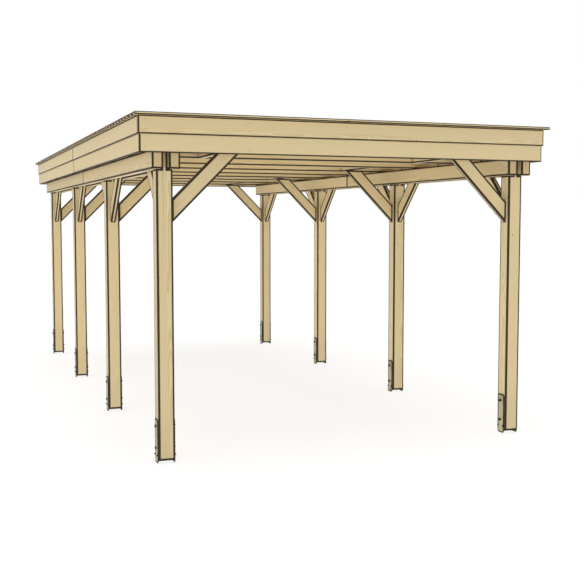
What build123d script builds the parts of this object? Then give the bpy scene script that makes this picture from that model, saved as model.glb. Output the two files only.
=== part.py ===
"""An open timber carport: eight braced posts, twin side beams and a flat boarded roof.

Millimetres, +Z up. X runs across the car bay, Y from the front to the back, and the
origin lies on the ground under the middle of the roof.
"""
from build123d import *
import os

# Posts and their steel anchors
post_size = 120.0
post_spacing = 2930.0        # between the two lines of posts, centre to centre
row_spacing = 2090.0         # from one row of posts to the next, centre to centre
row_count = 4
post_tongue = 44.0           # thickness of the post top left between the twin beams
seat_height = 2140.0         # ground to the post shoulders that carry the beams
anchor_reach = 300.0         # height of the anchor flats on the post
anchor_foot = 25.0           # gap that the anchor keeps between ground and post
anchor_flat = 90.0           # width of a flat
anchor_steel = 6.0           # thickness of the flats and of the web under the post

# Beams and braces
beam_thickness = 80.0
beam_height = 135.0
brace_width = 120.0
brace_thickness = 44.0
brace_reach = 522.0          # along the rafters and down the post, from the inner corner

# Rafters, blockings and purlins
rafter_thickness = 60.0
rafter_height = 145.0
rafter_count = 9
purlin_thickness = 45.0
purlin_height = 89.0

# Fascia boards, in two courses: the upper course stands proud of the lower one
side_overhang = 174.0        # post centre to the inner face of the side fascia
end_overhang = 119.0         # post centre to the inner face of the front and back fascia
fascia_board = 129.0
fascia_lower_thickness = 20.0
fascia_upper_thickness = 30.0
fascia_joint_gap = 2.0       # open butt joint halfway along each side

# Roof boards
deck_thickness = 21.0
deck_side_lip = 31.0         # overhang past the face of the upper side fascia
deck_end_lip = 46.0          # overhang past the face of the upper end fascia
deck_joint = -89.0           # x of the butt joint between the two lengths of board

# Levels and lines that follow from them
beam_top = seat_height + beam_height
rafter_top = beam_top + rafter_height
deck_base = rafter_top + purlin_height
fascia_middle = deck_base - fascia_board
fascia_base = fascia_middle - fascia_board
post_line = post_spacing / 2
half_rows = row_spacing * (row_count - 1) / 2
rows = [row_spacing * index - half_rows for index in range(row_count)]
inner_x = post_line + side_overhang
inner_y = half_rows + end_overhang
rafter_pitch = 2 * half_rows / (rafter_count - 1)
rafter_lines = [rafter_pitch * index - half_rows for index in range(rafter_count)]
brace_cut = brace_width * 2 ** 0.5
sides = {"left": -1, "right": 1}


def save(piece, name):
    """Label a finished piece and write it as one STEP file."""
    piece.part.label = name
    export_step(piece.part, f"parts/{name}.step")


def make_post(name, x, y):
    """A square post, notched on both sides so that a tongue stands between the beams."""
    with BuildPart() as post:
        with BuildSketch(Plane((x, y, 0), x_dir=(1, 0, 0), z_dir=(0, -1, 0))):
            with BuildLine():
                Polyline(
                    (-post_size / 2, anchor_foot),
                    (post_size / 2, anchor_foot),
                    (post_size / 2, seat_height),
                    (post_tongue / 2, seat_height),
                    (post_tongue / 2, beam_top),
                    (-post_tongue / 2, beam_top),
                    (-post_tongue / 2, seat_height),
                    (-post_size / 2, seat_height),
                    close=True,
                )
            make_face()
        extrude(amount=post_size / 2, both=True)
    save(post, name)


def make_anchor(name, x, y):
    """An H anchor: two upright flats on the post's sides, and a web that the post stands on."""
    flat_height = anchor_foot + anchor_reach
    flat_offset = (post_size + anchor_steel) / 2
    web_height = anchor_foot - anchor_steel / 2
    with BuildPart() as anchor:
        with Locations((x - flat_offset, y, flat_height / 2), (x + flat_offset, y, flat_height / 2)):
            Box(anchor_steel, anchor_flat, flat_height)
        with Locations((x, y, web_height)):
            Box(post_size, anchor_flat, anchor_steel)
    save(anchor, name)


def make_beam(name, x, front, back):
    """One length of beam that lies on the post shoulders."""
    with BuildPart() as beam:
        with Locations((x, (front + back) / 2, seat_height + beam_height / 2)):
            Box(beam_thickness, back - front, beam_height)
    save(beam, name)


def make_braces(name, inner_corners):
    """45 degree braces, each in the upright plane of the corner that it bridges.

    A corner's plane has its origin where the post's face meets the rafters' level, its
    x axis runs away from the post and its y axis points up.
    """
    with BuildPart() as braces:
        for corner in inner_corners:
            with BuildSketch(corner):
                with BuildLine():
                    Polyline(
                        (0, -brace_reach),
                        (brace_reach, 0),
                        (brace_reach - brace_cut, 0),
                        (0, brace_cut - brace_reach),
                        close=True,
                    )
                make_face()
            extrude(amount=brace_thickness / 2, both=True)
    save(braces, name)


def make_boards(name, size, centres):
    """Equal square-cut timbers in one node, each at its own centre."""
    with BuildPart() as boards:
        with Locations(*centres):
            Box(*size)
    save(boards, name)


def brace_corner(x, y, direction):
    """The upright plane at a post's top corner, facing away from the post along direction."""
    upright = Vector(0, 0, 1)
    normal = Vector(*direction).cross(upright)
    return Plane((x, y, beam_top), x_dir=direction, z_dir=normal)


def make_side(side, sign):
    """The posts, anchors, beams and braces of one side of the carport."""
    x = sign * post_line
    for number, y in enumerate(rows, start=1):
        make_post(f"post_{side}_{number}", x, y)
        make_anchor(f"anchor_{side}_{number}", x, y)

    beam_offset = (post_tongue + beam_thickness) / 2
    for place, beam_x in (("outer", x + sign * beam_offset), ("inner", x - sign * beam_offset)):
        make_beam(f"beam_{side}_{place}_front", beam_x, -inner_y, 0)
        make_beam(f"beam_{side}_{place}_back", beam_x, 0, inner_y)

    inner_face = x - sign * post_size / 2
    make_braces(f"cross_braces_{side}", [brace_corner(inner_face, y, (-sign, 0, 0)) for y in rows])

    half_post = post_size / 2
    backward = [brace_corner(x, y + half_post, (0, 1, 0)) for y in rows[:-1]]
    forward = [brace_corner(x, y - half_post, (0, -1, 0)) for y in rows[1:]]
    make_braces(f"side_braces_{side}", backward + forward)


def make_rafters():
    """Rafters across both pairs of beams, in groups of three."""
    size = (2 * inner_x, rafter_thickness, rafter_height)
    level = beam_top + rafter_height / 2
    places = ("front", "middle", "back")
    for number, place in enumerate(places):
        first = rafter_count * number // len(places)
        last = rafter_count * (number + 1) // len(places)
        make_boards(f"rafters_{place}", size, [(0, y, level) for y in rafter_lines[first:last]])


def make_blockings():
    """Blockings between the rafters beside each row of posts, over the cross braces."""
    offset = post_line - post_size / 2 - brace_reach + brace_cut / 2
    level = beam_top + rafter_height / 2
    size = (rafter_thickness, rafter_pitch - rafter_thickness, rafter_height)
    bays = [y + rafter_pitch / 2 for y in rafter_lines[:-1]]
    nearest = [min(bays, key=lambda bay: abs(bay - y)) for y in rows]
    for side, sign in sides.items():
        make_boards(f"blockings_{side}", size, [(sign * offset, y, level) for y in nearest])


def make_purlins():
    """Purlins on the rafters: one behind each side fascia, one under the deck joint, two between."""
    edge = inner_x - purlin_thickness / 2
    lines = [-edge, (deck_joint - edge) / 2, deck_joint, (deck_joint + edge) / 2, edge]
    level = rafter_top + purlin_height / 2
    make_boards("purlins", (purlin_thickness, 2 * inner_y, purlin_height), [(x, 0, level) for x in lines])


def make_fascia(course, thickness, base):
    """One course of fascia: whole boards across both ends, two lengths along each side."""
    level = base + fascia_board / 2
    end_size = (2 * (inner_x + thickness), thickness, fascia_board)
    for place, sign in (("front", -1), ("back", 1)):
        make_boards(f"fascia_{place}_{course}", end_size, [(0, sign * (inner_y + thickness / 2), level)])
    side_length = inner_y - fascia_joint_gap / 2
    side_centre = (inner_y + fascia_joint_gap / 2) / 2
    for side, sign in sides.items():
        x = sign * (inner_x + thickness / 2)
        centres = [(x, -side_centre, level), (x, side_centre, level)]
        make_boards(f"fascia_{side}_{course}", (thickness, side_length, fascia_board), centres)


def make_roof_deck():
    """The roof boards as two plates that meet at the deck joint."""
    edge_x = inner_x + fascia_upper_thickness + deck_side_lip
    edge_y = inner_y + fascia_upper_thickness + deck_end_lip
    level = deck_base + deck_thickness / 2
    for side, sign in sides.items():
        width = edge_x - sign * deck_joint
        centre = (sign * edge_x + deck_joint) / 2
        make_boards(f"roof_deck_{side}", (width, 2 * edge_y, deck_thickness), [(centre, 0, level)])


os.makedirs("parts", exist_ok=True)
for side_name, side_sign in sides.items():
    make_side(side_name, side_sign)
make_rafters()
make_blockings()
make_purlins()
make_fascia("lower", fascia_lower_thickness, fascia_base)
make_fascia("upper", fascia_upper_thickness, fascia_middle)
make_roof_deck()
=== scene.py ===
"""The look of an open timber carport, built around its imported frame.

Every timber is cut again with eased arrises and set in its place, the roof is laid board
by board, and the steel anchors get their welds, bolts, nuts and screws. Metres, +Z up.
"""

import logging
import math
from collections.abc import Callable, Iterable, Sequence
from dataclasses import dataclass, replace
from enum import Enum
from typing import Any

import bmesh
import bpy
from bmesh.types import BMEdge, BMesh, BMFace, BMLoop, BMVert
from bpy.types import Material, Mesh, NodeSocket, NodeTree, Object, World
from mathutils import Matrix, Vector


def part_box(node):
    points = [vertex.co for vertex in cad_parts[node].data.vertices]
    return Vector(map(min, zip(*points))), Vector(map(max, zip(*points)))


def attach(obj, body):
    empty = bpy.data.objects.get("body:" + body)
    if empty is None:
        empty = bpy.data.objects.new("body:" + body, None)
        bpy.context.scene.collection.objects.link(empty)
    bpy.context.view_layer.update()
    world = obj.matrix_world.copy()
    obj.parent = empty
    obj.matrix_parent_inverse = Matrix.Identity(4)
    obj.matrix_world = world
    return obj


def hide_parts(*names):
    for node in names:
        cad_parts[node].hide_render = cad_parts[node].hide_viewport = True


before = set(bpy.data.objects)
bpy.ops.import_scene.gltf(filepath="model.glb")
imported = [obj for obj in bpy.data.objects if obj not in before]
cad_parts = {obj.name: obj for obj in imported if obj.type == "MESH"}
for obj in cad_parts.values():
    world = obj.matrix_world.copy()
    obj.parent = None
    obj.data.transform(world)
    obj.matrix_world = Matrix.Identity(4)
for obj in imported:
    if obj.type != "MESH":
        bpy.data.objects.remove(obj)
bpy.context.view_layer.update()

log = logging.getLogger("carport")

BODY = "root"
ROWS = 4                     # rows of posts
RAFTERS = 9
BOARDS = 55                  # roof boards from the front to the back
ENDS = ("front", "back")
COURSES = ("lower", "upper")
TWINS = ("outer", "inner")   # the two beams of a side
OUTLINE_SHADE = (0.04, 0.46)          # the attribute edge, painted shade as dark outlines: where it starts to darken, and where it is full
UP = Vector((0.0, 0.0, 1.0))
ROOT_2 = math.sqrt(2)
RIGHT_ANGLE = math.pi / 2
END_CUT = 0.6                # a face that looks along the grain by more than this is a cut end
RGBA = tuple[float, float, float, float]
Triple = tuple[float, float, float]
Point2 = tuple[float, float]
Box = tuple[Vector, Vector]  # its lowest and highest corners
Spot = tuple[Vector, Vector]  # a place, and the way that a fastener there faces


def shade(*parts: int) -> RGBA:
    """The light values of a screen colour, given as red, green and blue from 0 to 255."""
    screen = [part / 255 for part in parts]
    return (*[p / 12.92 if p <= 0.04045 else ((p + 0.055) / 1.055) ** 2.4 for p in screen], 1.0)


def box_of(*nodes: str) -> Box:
    """The box round some CAD nodes."""
    lows, highs = zip(*map(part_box, nodes))
    return Vector(tuple(map(min, zip(*lows)))), Vector(tuple(map(max, zip(*highs))))


def middle(box: Box) -> Vector:
    """The centre of a box."""
    return (box[0] + box[1]) / 2


def extent(box: Box) -> Vector:
    """The size of a box."""
    return box[1] - box[0]


class Slot(Enum):
    """The record's material slots."""

    TIMBER = "timber"
    ROOF = "roof_boards"
    FASCIA = "fascia_boards"
    STEEL = "galvanised_steel"


class Side(Enum):
    """The two long sides of the carport, as the sign of their x."""

    LEFT = -1
    RIGHT = 1

    @property
    def word(self) -> str:
        """The side's name in the CAD nodes."""
        return self.name.lower()

    def row_nodes(self, kind: str) -> list[str]:
        """This side's nodes of a kind, from the front row to the back row."""
        return [f"{kind}_{self.word}_{row}" for row in range(1, ROWS + 1)]

    def outer(self, box: Box) -> float:
        """The x of a box's outer face."""
        return box[0].x if self is Side.LEFT else box[1].x

    def inner(self, box: Box) -> float:
        """The x of a box's inner face."""
        return box[1].x if self is Side.LEFT else box[0].x


class Turn(Enum):
    """How a member, cut along its own x, is turned into its place: angles about x, y and z."""

    ACROSS = (0.0, 0.0, 0.0)
    ALONG = (0.0, 0.0, math.pi / 2)
    UPRIGHT = (0.0, -math.pi / 2, 0.0)
    RISING_RIGHT = (0.0, -math.pi / 4, 0.0)
    RISING_LEFT = (0.0, -math.pi / 4, math.pi)
    RISING_BACK = (0.0, -math.pi / 4, math.pi / 2)
    RISING_FRONT = (0.0, -math.pi / 4, -math.pi / 2)


def operator_pair(operation: str) -> tuple[Callable[..., "Wire"], Callable[..., "Wire"]]:
    """Make an operator of Wire and its reflected form.

    Args:
        operation: the Math node's operation.

    Returns:
        The two methods.
    """

    def plain(self: "Wire", other: "Wire | float") -> "Wire":
        """The operation on self and other."""
        return self.sheet.maths(operation, self, other)

    def reflected(self: "Wire", other: "Wire | float") -> "Wire":
        """The operation on other and self."""
        return self.sheet.maths(operation, other, self)

    return plain, reflected


class Wire:
    """A node's output that sums can be written on."""

    def __init__(self, sheet: "Sheet", socket: NodeSocket | None) -> None:
        """Hold a socket and the sheet that its node is on."""
        self.sheet, self.socket = sheet, socket

    def out(self, name: str) -> "Wire":
        """Another output of the same node, by its name."""
        return Wire(self.sheet, find_socket(self.socket.node.outputs, name))

    __add__, __radd__ = operator_pair("ADD")
    __sub__, __rsub__ = operator_pair("SUBTRACT")
    __mul__, __rmul__ = operator_pair("MULTIPLY")
    __truediv__, __rtruediv__ = operator_pair("DIVIDE")
    __gt__, __lt__ = operator_pair("GREATER_THAN")  # a < b is asked as b > a


def find_socket(sockets: Any, key: str | int) -> NodeSocket:
    """Find a socket of a node.

    Args:
        sockets: the node's inputs or outputs.
        key: the socket's place in the list, or its name or identifier among those in use.

    Returns:
        The socket.
    """
    if isinstance(key, int):
        return sockets[key]
    return next(s for s in sockets if s.enabled and key in (s.name, s.identifier))


class Sheet:
    """A node tree and the few ways in which this script adds nodes to it."""

    def __init__(self, tree: NodeTree) -> None:
        """Hold the tree."""
        self.tree = tree

    def node(
        self, kind: str, settings: dict[str, Any], inputs: dict[str | int, Any], output: str | int = 0
    ) -> Wire:
        """Add a node.

        Args:
            kind: the node's type.
            settings: its own settings, which are set first.
            inputs: the values of its sockets, or the wires that feed them.
            output: the output wanted.

        Returns:
            That output. It is an empty wire where the node has none.
        """
        made = self.tree.nodes.new(kind)
        for name, value in settings.items():
            setattr(made, name, value)
        for key, value in inputs.items():
            socket = find_socket(made.inputs, key)
            if isinstance(value, Wire):
                self.tree.links.new(value.socket, socket)
            else:
                socket.default_value = value
        return Wire(self, find_socket(made.outputs, output) if made.outputs else None)

    def maths(self, operation: str, *values: Wire | float) -> Wire:
        """One Math node, with its values in order."""
        return self.node("ShaderNodeMath", {"operation": operation}, dict(enumerate(values)))

    def size(self, value: Wire) -> Wire:
        """A number without its sign."""
        return self.maths("ABSOLUTE", value)

    def most(self, first: Wire, second: Wire) -> Wire:
        """The greater of two numbers."""
        return self.maths("MAXIMUM", first, second)

    def chance(self, lot: Wire, times: float) -> Wire:
        """One more random number from 0 to 1, out of a member's own."""
        return self.maths("FRACT", lot * times)

    def vector(self, operation: str, *values: Any, output: str = "Vector") -> Wire:
        """One Vector Math node, with its vectors in order."""
        inputs = dict(enumerate(values))
        return self.node("ShaderNodeVectorMath", {"operation": operation}, inputs, output)

    def tinted(self, colour: Wire, strength: Wire) -> Wire:
        """The colour, made lighter or darker by a factor."""
        inputs = {"Vector": colour, "Scale": strength}
        return self.node("ShaderNodeVectorMath", {"operation": "SCALE"}, inputs, "Vector")

    def combine(self, x: Wire | float, y: Wire | float, z: Wire | float) -> Wire:
        """A vector from its three parts."""
        return self.node("ShaderNodeCombineXYZ", {}, {"X": x, "Y": y, "Z": z})

    def split(self, vector: Wire) -> tuple[Wire, Wire, Wire]:
        """The three parts of a vector."""
        x = self.node("ShaderNodeSeparateXYZ", {}, {"Vector": vector}, "X")
        return x, x.out("Y"), x.out("Z")

    def ease(self, value: Wire, low: float, high: float) -> Wire:
        """A smooth step from 0 at low to 1 at high, which may be the smaller of the two."""
        inputs = {"Value": value, "From Min": low, "From Max": high}
        return self.node("ShaderNodeMapRange", {"interpolation_type": "SMOOTHSTEP"}, inputs, "Result")

    def mix(self, amount: Wire, first: Wire | RGBA, second: Wire | RGBA) -> Wire:
        """Blend two colours: 0 gives the first and 1 the second."""
        inputs = {"Factor": amount, "A": first, "B": second}
        return self.node("ShaderNodeMix", {"data_type": "RGBA"}, inputs, "Result")

    def noise(
        self, at: Wire, waves: Triple, detail: float = 2.0, output: str = "Fac", rough: float = 0.55
    ) -> Wire:
        """Soft noise of about 0.5, with so many waves to a metre along x, y and z."""
        scaled = {"Vector": self.vector("MULTIPLY", at, waves), "Scale": 1.0}
        return self.node("ShaderNodeTexNoise", {}, {**scaled, "Detail": detail, "Roughness": rough}, output)

    def cells(self, at: Wire, waves: Triple) -> Wire:
        """The distance from scattered cells. Color and Position are further outputs of the node."""
        scaled = {"Vector": self.vector("MULTIPLY", at, waves), "Scale": 1.0}
        return self.node("ShaderNodeTexVoronoi", {}, scaled, "Distance")

    def attribute(self, name: str, output: str = "Fac") -> Wire:
        """A value that the mesh carries."""
        return self.node("ShaderNodeAttribute", {"attribute_name": name}, {}, output)

    def where(self, output: str = "Object") -> Wire:
        """Object coordinates, or for the world Generated, which is the way outwards."""
        return self.node("ShaderNodeTexCoord", {}, {}, output)

    def bump(self, strength: float, distance: float, height: Wire) -> Wire:
        """A relief of a height, for a shader's Normal."""
        inputs = {"Strength": strength, "Distance": distance, "Height": height}
        return self.node("ShaderNodeBump", {}, inputs)

    def surface(self, kind: str, inputs: dict[str | int, Any], owner: str = "Material") -> None:
        """End the sheet with a shader on its Surface."""
        shader = self.node("ShaderNode" + kind, {}, inputs)
        self.node("ShaderNodeOutput" + owner, {}, {"Surface": shader})


def new_sheet(owner: Material | World) -> Sheet:
    """Empty the nodes of a new material or world.

    Args:
        owner: the material or world.

    Returns:
        Its sheet.
    """
    owner.use_nodes = True
    owner.node_tree.nodes.clear()
    return Sheet(owner.node_tree)


@dataclass(frozen=True)
class RimStain:
    """Painted shade on the ends of a roof board beside each joint, and painted shadow under its overhang."""

    half_width: float = 0.0605            # of a board, as the next
    half_depth: float = 0.01025
    joint: Point2 = (0.038, 0.026)        # in from its side: where it starts, and where it is full
    crown: Point2 = (0.0090, 0.0065)      # down from its top
    overhang: Point2 = (0.032, 0.024)     # in from its end
    under: Point2 = (0.0004, 0.0001)      # up from its underside

    def over(self, sheet: Sheet, edge: Wire, place: Wire, tip: Wire, cut: Wire) -> Wire:
        """Add this painted shade to that of the arrises.

        Args:
            sheet: the material's sheet.
            edge: the painted shade of the arrises.
            place: the place in the board.
            tip: the distance from the board's end.
            cut: 1 on the ends.

        Returns:
            The painted shade of all.
        """
        _, side, up = sheet.split(place)
        joint = sheet.ease(sheet.size(side), *[self.half_width - inset for inset in self.joint])
        crown = sheet.ease(up, *[self.half_depth - inset for inset in self.crown])
        edge = sheet.most(edge, sheet.most(joint, crown) * cut)
        # Painted shadow under the overhang, near the board's end
        under = sheet.ease(up, *[inset - self.half_depth for inset in self.under])
        eaves = sheet.ease(tip, *self.overhang) * under
        return sheet.most(edge, eaves * joint * (1.0 - cut))


@dataclass(frozen=True)
class Weights:
    """How strongly each feature of the wood shows in its colour, its sheen or its relief."""

    late: float = 0.0                     # the dark part of each growth ring
    heart: float = 0.0                    # the broad warm streaks
    fibre: float = 0.0
    knot: float = 0.0
    halo: float = 0.0                     # the darker wood round a knot
    check: float = 0.0
    end: float = 0.0                      # the cut ends
    wet: float = 0.0                      # the stain beside them


@dataclass(frozen=True)
class WoodFinish:
    """Planed softwood with growth rings, fibre, knots, checks and end grain, with painted shade as dark
    outlines along its arrises.
    """

    name: str
    early: RGBA = shade(222, 203, 159)
    late: RGBA = shade(196, 172, 124)
    heart: RGBA = shade(214, 188, 138)
    knot: RGBA = shade(158, 122, 78)
    cut_end: RGBA = shade(196, 172, 126)
    # arris: the dark of the painted shade at the arrises and in the checks, and of the stain at the ends
    arris: RGBA = shade(38, 28, 17)
    splashed: RGBA = shade(150, 134, 104)
    arris_strength: float = 0.98
    arris_break: Point2 = (0.8, 0.3)      # how much streaks and fibre break up its painted shade
    tint: Weights = Weights(
        late=0.62, heart=0.55, fibre=0.10, knot=0.75, halo=0.35, check=0.7, end=0.85, wet=0.7
    )
    sheen: Weights = Weights(late=0.06, fibre=0.22, knot=0.15, end=0.1)
    height: Weights = Weights(late=0.35, fibre=0.30, knot=0.3, halo=0.25, check=1.6)
    lot_spread: float = 0.09              # how much lighter one member may be than another
    lot_shift: Triple = (41.0, 17.0, 29.0)  # so that no two members show the same wood
    lot_chances: Triple = (7.31, 13.7, 29.3)  # make a tone and a pith's y and z out of one number
    fibre_waves: Triple = (7.0, 620.0, 620.0)
    streak_waves: Triple = (0.9, 26.0, 26.0)
    streak: Point2 = (0.45, 0.75)
    streak_tone: float = 0.08
    end_late: float = 0.75
    ring: float = 0.0052
    ring_rise: Point2 = (0.35, 0.92)      # where in a ring the late wood sets in
    ring_stop: Point2 = (1.0, 0.94)       # and where it ends
    ring_warp: float = 0.05
    ring_wander: float = 0.01
    warp_waves: Triple = (1.1, 6.0, 6.0)
    taper: float = 0.006                  # of the log, along the member
    pith_spread: float = 0.12
    pith_depth: Point2 = (0.03, 0.10)     # least, and how much more by chance
    knot_length: float = 0.42             # a cell of the wood, which holds one knot or none
    knot_width: float = 0.15
    knot_stretch: float = 0.7
    knot_share: float = 0.5               # of the cells have none
    knot_radius: Point2 = (0.004, 0.008)  # least, and how much more by chance
    knot_rim: Point2 = (1.05, 0.8)        # in radii, as the next
    halo_rim: Point2 = (2.4, 1.0)
    knot_waves: Triple = (160.0, 160.0, 160.0)
    bulge_reach: float = 0.045
    bulge: float = 0.012
    checks: float = 1.0
    check_width: float = 0.0011
    check_waves: Triple = (2.0, 3.0, 3.0)
    check_where: Triple = (1.1, 7.3, 53.0)  # waves along the grain, and steps to a ray and a lot
    check_wander: float = 0.5
    check_open: Point2 = (0.60, 0.74)
    check_fade: Point2 = (0.0, 0.25)
    check_rim: Point2 = (1.0, 0.3)
    check_least: float = 0.00001          # half a width, so that nothing is divided by 0
    check_pith: Point2 = (0.015, 0.035)   # how far from the pith they start
    check_slope: Point2 = (0.30, 0.55)
    rays: float = 2.3
    specular: float = 0.25
    roughness: float = 0.66
    bump: float = 0.45
    relief: float = 0.0009
    ground_stain: float = 0.0
    splash: Point2 = (0.55, 0.05)         # the heights where it ends and where it is full
    splash_waves: Triple = (9.0, 9.0, 3.0)
    splash_warp: float = 0.5
    end_stain: float = 0.014
    end_full: float = 0.2                 # the share of it that is fully stained
    rim: RimStain | None = None

    def material(self) -> Material:
        """Build the finish.

        Returns:
            A material that reads a member's attributes: place, lot, edge, cut, reach and flank.
        """
        material = bpy.data.materials.new(self.name)
        sheet = new_sheet(material)
        place, lot, cut = sheet.attribute("place", "Vector"), sheet.attribute("lot"), sheet.attribute("cut")
        spot = sheet.vector("ADD", place, sheet.combine(*[lot * shift for shift in self.lot_shift]))
        knot, halo, bulge = self._knots(sheet, spot)
        late, radius, angle, slope = self._rings(sheet, place, spot, lot, bulge)
        check = self._checks(sheet, spot, radius, angle, slope)
        fibre = sheet.noise(spot, self.fibre_waves, 1.0)
        streak = sheet.noise(spot, self.streak_waves, 3.0)
        fibred, streaked = fibre - 0.5, streak - 0.5

        tint, sheen, height = self.tint, self.sheen, self.height
        by_streak, by_fibre = self.arris_break
        wood = sheet.mix(late * tint.late, self.early, self.late)
        wood = sheet.mix(sheet.ease(streak, *self.streak) * tint.heart, wood, self.heart)
        wood = sheet.mix(cut * tint.end, wood, sheet.mix(late * self.end_late, self.cut_end, self.late))
        wood = sheet.mix(halo * tint.halo, wood, self.heart)
        wood = sheet.mix(knot * tint.knot, wood, self.knot)
        # Painted shade: the checks are darkened as by the shade inside the splits
        wood = sheet.mix(check * tint.check, wood, self.arris)
        tone = 1.0 + (sheet.chance(lot, self.lot_chances[0]) - 0.5) * self.lot_spread
        wood = sheet.tinted(wood, tone + fibred * tint.fibre + streaked * self.streak_tone)
        tip = sheet.attribute("reach") - sheet.size(sheet.split(place)[0])
        full = self.end_stain * self.end_full
        wet = sheet.ease(tip + streaked * self.end_stain, self.end_stain, full)
        wood = sheet.mix(wet * (1.0 - cut) * tint.wet, wood, self.arris)
        if self.ground_stain:
            wood = self._splashed(sheet, wood)
        edge = sheet.attribute("edge") * (1.0 + streaked * by_streak + fibred * by_fibre)
        # On roof boards: painted shade at the joints and painted shadow under the eaves
        if self.rim:
            edge = self.rim.over(sheet, edge, place, tip, cut)
        # Painted shade: dark outline bands along the arrises
        wood = sheet.mix(sheet.ease(edge, *OUTLINE_SHADE) * self.arris_strength, wood, self.arris)

        relief = late * height.late + fibre * height.fibre - check * height.check
        relief = relief - knot * height.knot + halo * height.halo
        rough = self.roughness + fibred * sheen.fibre - late * sheen.late - knot * sheen.knot
        sheet.surface("BsdfPrincipled", {
            "Base Color": wood,
            "Roughness": rough + cut * sheen.end,
            "Specular IOR Level": self.specular,
            "Normal": sheet.bump(self.bump, self.relief, relief),
        })
        return material

    def _knots(self, sheet: Sheet, spot: Wire) -> tuple[Wire, Wire, Wire]:
        """Scatter knots through the wood.

        Args:
            sheet: the material's sheet.
            spot: the place in the log.

        Returns:
            The knots, the darker wood round them, and how far they push the rings out.
        """
        waves = (1 / self.knot_length, 1 / self.knot_width, 1 / self.knot_width)
        cell = sheet.cells(spot, waves)
        away = sheet.vector("SUBTRACT", sheet.vector("MULTIPLY", spot, waves), cell.out("Position"))
        metres = (self.knot_length * self.knot_stretch, self.knot_width, self.knot_width)
        distance = sheet.vector("LENGTH", sheet.vector("MULTIPLY", away, metres), output="Value")
        chance, girth, _ = sheet.split(cell.out("Color"))
        grown = chance > self.knot_share
        least, more = self.knot_radius
        wobble = (sheet.noise(spot, self.knot_waves, 1.0) - 0.5) * least
        ratio = (distance + wobble) / (least + girth * more)
        bulge = sheet.ease(distance, self.bulge_reach, 0.0) * grown * self.bulge
        knot, halo = [sheet.ease(ratio, *rim) * grown for rim in (self.knot_rim, self.halo_rim)]
        return knot, halo, bulge

    def _rings(
        self, sheet: Sheet, place: Wire, spot: Wire, lot: Wire, bulge: Wire
    ) -> tuple[Wire, Wire, Wire, Wire]:
        """Draw the growth rings round a pith that runs beside or inside the member.

        Args:
            sheet: the material's sheet.
            place: the place in the member.
            spot: the place in the log, for the noise.
            lot: the member's random number.
            bulge: how far knots push the rings.

        Returns:
            How much of the dark late wood shows, the distance from the pith, the angle round
            it, and how steeply a line from the pith meets this face.
        """
        warp_x, warp_y, warp_z = sheet.split(sheet.noise(spot, self.warp_waves, 2.0, "Color"))
        x, y, z = sheet.split(place)
        shallow, deeper = self.pith_depth
        _, for_y, for_z = self.lot_chances
        pith_y = (sheet.chance(lot, for_y) - 0.5) * self.pith_spread
        pith_z = sheet.chance(lot, for_z) * -deeper - shallow
        across = y - pith_y + (warp_y - 0.5) * self.ring_warp
        up = z - pith_z + (warp_z - 0.5) * self.ring_warp
        radius = sheet.maths("SQRT", across * across + up * up)
        grown = radius + x * self.taper + bulge + (warp_x - 0.5) * self.ring_wander
        turn = sheet.maths("FRACT", grown / self.ring)
        late = sheet.ease(turn, *self.ring_rise) * sheet.ease(turn, *self.ring_stop)
        flank = sheet.attribute("flank")
        deep = sheet.size(across) * flank + sheet.size(up) * (1.0 - flank)
        return late, radius, sheet.maths("ARCTAN2", up, across), deep / radius

    def _checks(self, sheet: Sheet, spot: Wire, radius: Wire, angle: Wire, slope: Wire) -> Wire:
        """Draw drying checks: fine splits that run out from the pith and along the grain.

        Args:
            sheet: the material's sheet.
            spot: the place in the log.
            radius: the distance from the pith.
            angle: the angle round the pith.
            slope: how steeply a line from the pith meets this face.

        Returns:
            The splits, from 0 to 1.
        """
        wander = sheet.noise(spot, self.check_waves, 2.0) - 0.5
        turn = angle * self.rays + wander * self.check_wander
        ray = sheet.maths("FLOOR", turn)
        away = sheet.size(sheet.maths("FRACT", turn) - 0.5) / self.rays * radius
        parts = zip((sheet.split(spot)[0], ray, sheet.attribute("lot")), self.check_where)
        where = sheet.combine(*[part * step for part, step in parts])
        opening = sheet.ease(sheet.noise(where, (1.0, 1.0, 1.0), 0.0), *self.check_open)
        half_width = opening * self.check_width + self.check_least
        split = sheet.ease(away / half_width, *self.check_rim) * sheet.ease(opening, *self.check_fade)
        steep = sheet.ease(slope, *self.check_slope)
        return split * sheet.ease(radius, *self.check_pith) * steep * self.checks

    def _splashed(self, sheet: Sheet, wood: Wire) -> Wire:
        """Grey the wood near the ground.

        Args:
            sheet: the material's sheet.
            wood: the colour so far.

        Returns:
            The colour with its stain.
        """
        at = sheet.where()
        waver = (sheet.noise(at, self.splash_waves, 3.0) - 0.5) * self.splash_warp
        low = sheet.ease(sheet.split(at)[2] + waver, *self.splash)
        return sheet.mix(low * self.ground_stain, wood, self.splashed)


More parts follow.
